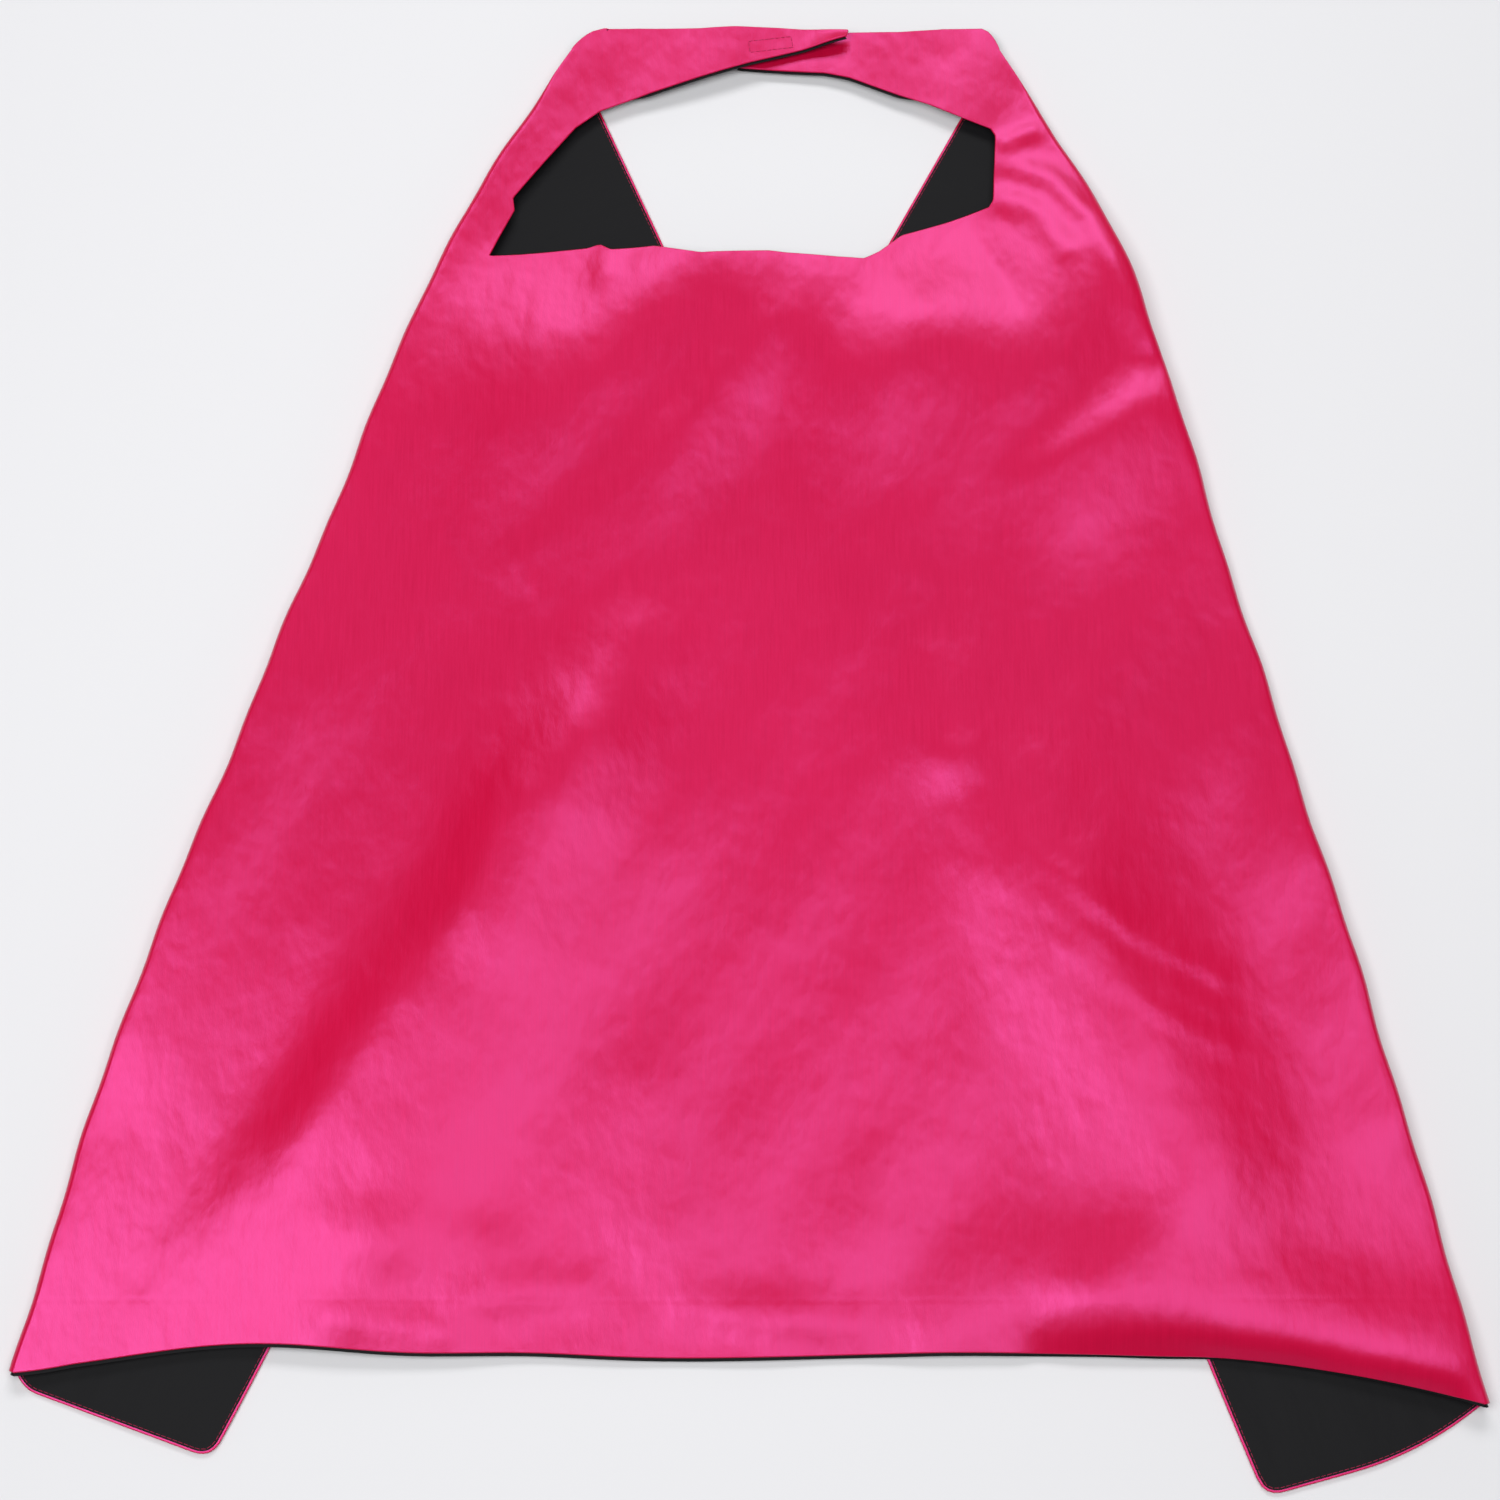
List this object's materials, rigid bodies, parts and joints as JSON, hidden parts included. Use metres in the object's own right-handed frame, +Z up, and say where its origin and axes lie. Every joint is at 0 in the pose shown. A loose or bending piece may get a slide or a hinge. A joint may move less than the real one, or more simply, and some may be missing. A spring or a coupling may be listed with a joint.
{
  "type": "superhero cape",
  "caption": "Reversible satin dress-up cape laid flat, its sides folded under and its neck straps lapped and closed with hook-and-loop tape.",
  "frame": {"origin": "on the surface that the cape lies on, under the middle of its bounding box", "axes": "+Z up, away from the surface and out of the shell side; +Y from the hem towards the neck; +X to the right as seen from above with the neck at the top"},
  "size_m": [0.7074, 0.7626, 0.011],
  "materials": {
    "shell_satin": "hot pink polyester satin with a broad soft sheen",
    "lining_satin": "black polyester satin, duller than the shell",
    "tape": "black hook-and-loop tape",
    "sewing_thread": "hot pink polyester thread"
  },
  "bodies": {
    "back": {"back_panel_lining": "lining_satin", "back_panel_shell": "shell_satin", "hem_seam": "sewing_thread", "neckline_seam": "sewing_thread"},
    "left_flap": {"left_flap_shell": "shell_satin", "left_flap_lining": "lining_satin", "left_flap_seam": "sewing_thread"},
    "right_flap": {"right_flap_shell": "shell_satin", "right_flap_lining": "lining_satin", "right_flap_seam": "sewing_thread"},
    "upper_tab": {"upper_tab_lining": "lining_satin", "upper_tab_shell": "shell_satin", "upper_tab_seam": "sewing_thread", "hook_patch": "tape", "hook_patch_stitching": "sewing_thread"},
    "lower_tab": {"lower_tab_lining": "lining_satin", "lower_tab_shell": "shell_satin", "lower_tab_seam": "sewing_thread", "loop_patch": "tape", "loop_patch_stitching": "sewing_thread"}
  },
  "joints": [
    {"name": "left_flap_unfold", "type": "hinge", "parent": "back", "child": "left_flap", "pos_m": [-0.36938, -0.31868, 0.0043], "axis": [0.3363, 0.9417, 0], "range_deg": [0, 178]},
    {"name": "right_flap_unfold", "type": "hinge", "parent": "back", "child": "right_flap", "pos_m": [0.35462, -0.31868, 0.0043], "axis": [0.2594, -0.9658, 0], "range_deg": [0, 178]},
    {"name": "upper_tab_peel", "type": "hinge", "parent": "back", "child": "upper_tab", "pos_m": [-0.06888, 0.33832, 0.0069], "axis": [0.1564, -0.9877, 0], "range_deg": [0, 150]},
    {"name": "lower_tab_lift", "type": "hinge", "parent": "back", "child": "lower_tab", "pos_m": [0.09512, 0.33832, 0.0063], "axis": [0.1564, 0.9877, 0], "range_deg": [0, 75]}
  ],
  "couplings": [
    {"joint": "lower_tab_lift", "follows": "upper_tab_peel", "ratio": 0.5}
  ]
}
